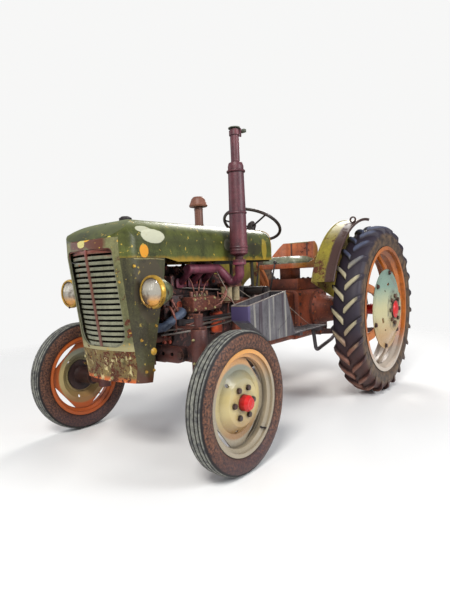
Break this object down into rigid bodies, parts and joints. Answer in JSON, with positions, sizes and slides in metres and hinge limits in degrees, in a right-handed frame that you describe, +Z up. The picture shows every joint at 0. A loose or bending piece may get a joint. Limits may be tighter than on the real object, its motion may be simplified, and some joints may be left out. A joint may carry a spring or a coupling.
{
  "type": "farm tractor",
  "caption": "Small vintage farm tractor with a slatted nose, side lamps, upright exhaust, bucket seat, steered front wheels, tall rear wheels and a rear lift linkage.",
  "frame": {"origin": "on the ground, at the centre of the box round the whole tractor", "axes": "+Y from the nose to the rear, +X to the left as the driver sits, +Z up"},
  "size_m": [1.637, 2.986, 1.819],
  "materials": {
    "hood_paint": "worn gloss",
    "nose_paint": "worn",
    "side_paint": "worn",
    "apron_paint": "rusted",
    "slat_paint": "worn",
    "lamp_metal": "tarnished",
    "lamp_glass": "clear",
    "dash_metal": "satin",
    "radiator_metal": "matt",
    "hose_rubber": "matt",
    "dark_metal": "worn",
    "pump_metal": "dull",
    "engine_iron": "oily",
    "manifold_iron": "burnt",
    "stack_metal": "burnt",
    "flap_metal": "worn",
    "cleaner_metal": "rusted",
    "case_iron": "rusted",
    "axle_iron": "rusted",
    "column_metal": "satin",
    "wheel_plastic": "worn",
    "seat_metal": "rusted",
    "seat_vinyl": "worn",
    "board_metal": "worn",
    "bin_metal": "zinc",
    "wire_metal": "dull",
    "fender_paint": "worn",
    "tyre": "matt",
    "front_wheel_paint": "chipped",
    "hub_paint": "worn",
    "rim_paint": "rusted",
    "disc_paint": "chipped"
  },
  "bodies": {
    "chassis": {"air_cleaner": "cleaner_metal", "axle_trumpets": "case_iron", "bin_wires": "wire_metal", "control_levers": "dark_metal", "cylinder_head": "engine_iron", "engine_block": "engine_iron", "exhaust_manifold": "manifold_iron", "exhaust_stack": "stack_metal", "fan_drive": "dark_metal", "fenders": "fender_paint", "footboards": "board_metal", "front_axle_arms": "axle_iron", "front_axle_beam": "axle_iron", "front_axle_bracket": "case_iron", "fuel_system": "pump_metal", "grille": "slat_paint", "headlamp_lenses": "lamp_glass", "headlamps": "lamp_metal", "hood": "hood_paint", "instrument_panel": "dash_metal", "lift_cover": "case_iron", "lower_apron": "apron_paint", "nose_surround": "nose_paint", "pedals": "dark_metal", "radiator": "radiator_metal", "radiator_hoses": "hose_rubber", "radius_rods": "axle_iron", "rear_axle_case": "case_iron", "seat_cushion": "seat_vinyl", "seat_pan": "seat_metal", "side_bin": "bin_metal", "side_panels": "side_paint", "steering_column": "column_metal", "transmission_case": "case_iron"},
    "knuckle_left": {"steering_knuckle_left": "axle_iron"},
    "front_wheel_unit_left": {"front_tyre_left": "tyre", "front_wheel_left": "front_wheel_paint", "front_hub_left": "hub_paint"},
    "rear_wheel_unit_left": {"rear_tyre_left": "tyre", "rear_rim_left": "rim_paint", "rear_disc_left": "disc_paint", "rear_hub_left": "hub_paint"},
    "drag_rod_left": {"drag_link_left": "dark_metal"},
    "drop_lever_left": {"drop_arm_left": "dark_metal"},
    "knuckle_right": {"steering_knuckle_right": "axle_iron"},
    "front_wheel_unit_right": {"front_tyre_right": "tyre", "front_wheel_right": "front_wheel_paint", "front_hub_right": "hub_paint"},
    "rear_wheel_unit_right": {"rear_tyre_right": "tyre", "rear_rim_right": "rim_paint", "rear_disc_right": "disc_paint", "rear_hub_right": "hub_paint"},
    "drag_rod_right": {"drag_link_right": "dark_metal"},
    "drop_lever_right": {"drop_arm_right": "dark_metal"},
    "steering_wheel_unit": {"steering_wheel": "wheel_plastic"},
    "rain_cap": {"rain_flap": "flap_metal"},
    "lower_link_pair": {"lower_links": "axle_iron"},
    "lift_arm_pair": {"lift_arms": "axle_iron"},
    "lift_rod_pair": {"lift_rods": "axle_iron"}
  },
  "joints": [
    {"name": "steer_left", "type": "hinge", "parent": "chassis", "child": "knuckle_left", "pos_m": [0.4, -1.127, 0.6], "axis": [0, 0, 1], "range_deg": [-35, 35]},
    {"name": "steer_right", "type": "hinge", "parent": "chassis", "child": "knuckle_right", "pos_m": [-0.4, -1.127, 0.6], "axis": [0, 0, 1], "range_deg": [-35, 35]},
    {"name": "front_wheel_left_spin", "type": "hinge", "parent": "knuckle_left", "child": "front_wheel_unit_left", "pos_m": [0.6355, -1.127, 0.348], "axis": [1, 0, 0], "continuous": true},
    {"name": "front_wheel_right_spin", "type": "hinge", "parent": "knuckle_right", "child": "front_wheel_unit_right", "pos_m": [-0.6355, -1.127, 0.348], "axis": [1, 0, 0], "continuous": true},
    {"name": "rear_wheel_left_spin", "type": "hinge", "parent": "chassis", "child": "rear_wheel_unit_left", "pos_m": [0.6585, 0.703, 0.642], "axis": [1, 0, 0], "continuous": true},
    {"name": "rear_wheel_right_spin", "type": "hinge", "parent": "chassis", "child": "rear_wheel_unit_right", "pos_m": [-0.6585, 0.703, 0.642], "axis": [1, 0, 0], "continuous": true},
    {"name": "steering_wheel_turn", "type": "hinge", "parent": "chassis", "child": "steering_wheel_unit", "pos_m": [0, -0.005, 1.32], "axis": [0, 0.4695, 0.8829], "range_deg": [-420, 420]},
    {"name": "drag_rod_left_front", "type": "hinge", "parent": "knuckle_left", "child": "drag_rod_left", "pos_m": [0.28, -1.127, 0.722], "axis": [0, 0, 1], "range_deg": [-35, 35]},
    {"name": "drop_lever_left_swing", "type": "hinge", "parent": "chassis", "child": "drop_lever_left", "pos_m": [0.248, -0.227, 0.842], "axis": [1, 0, 0], "range_deg": [-35, 35]},
    {"name": "drag_rod_right_front", "type": "hinge", "parent": "knuckle_right", "child": "drag_rod_right", "pos_m": [-0.28, -1.127, 0.722], "axis": [0, 0, 1], "range_deg": [-35, 35]},
    {"name": "drop_lever_right_swing", "type": "hinge", "parent": "chassis", "child": "drop_lever_right", "pos_m": [-0.248, -0.227, 0.842], "axis": [1, 0, 0], "range_deg": [-35, 35]},
    {"name": "rain_cap_lift", "type": "hinge", "parent": "chassis", "child": "rain_cap", "pos_m": [0.315, -0.585, 1.808], "axis": [-1, 0, 0], "range_deg": [0, 60]},
    {"name": "lower_links_lift", "type": "hinge", "parent": "chassis", "child": "lower_link_pair", "pos_m": [0, 0.663, 0.45], "axis": [1, 0, 0], "range_deg": [-8, 26]},
    {"name": "lift_arms_swing", "type": "hinge", "parent": "chassis", "child": "lift_arm_pair", "pos_m": [0, 0.813, 0.88], "axis": [1, 0, 0], "range_deg": [-30, 60]},
    {"name": "lift_rods_swing", "type": "hinge", "parent": "lift_arm_pair", "child": "lift_rod_pair", "pos_m": [0, 1.04792, 0.79449], "axis": [1, 0, 0], "range_deg": [-70, 30]}
  ],
  "couplings": [
    {"joint": "steer_right", "follows": "steer_left", "ratio": 1},
    {"joint": "steering_wheel_turn", "follows": "steer_left", "ratio": 12},
    {"joint": "drag_rod_left_front", "follows": "steer_left", "ratio": -1},
    {"joint": "drag_rod_right_front", "follows": "steer_left", "ratio": -1},
    {"joint": "drop_lever_left_swing", "follows": "steer_left", "ratio": -1},
    {"joint": "drop_lever_right_swing", "follows": "steer_left", "ratio": 1},
    {"joint": "lift_arms_swing", "follows": "lower_links_lift", "ratio": 1.8316},
    {"joint": "lift_rods_swing", "follows": "lower_links_lift", "ratio": -1.9691}
  ]
}
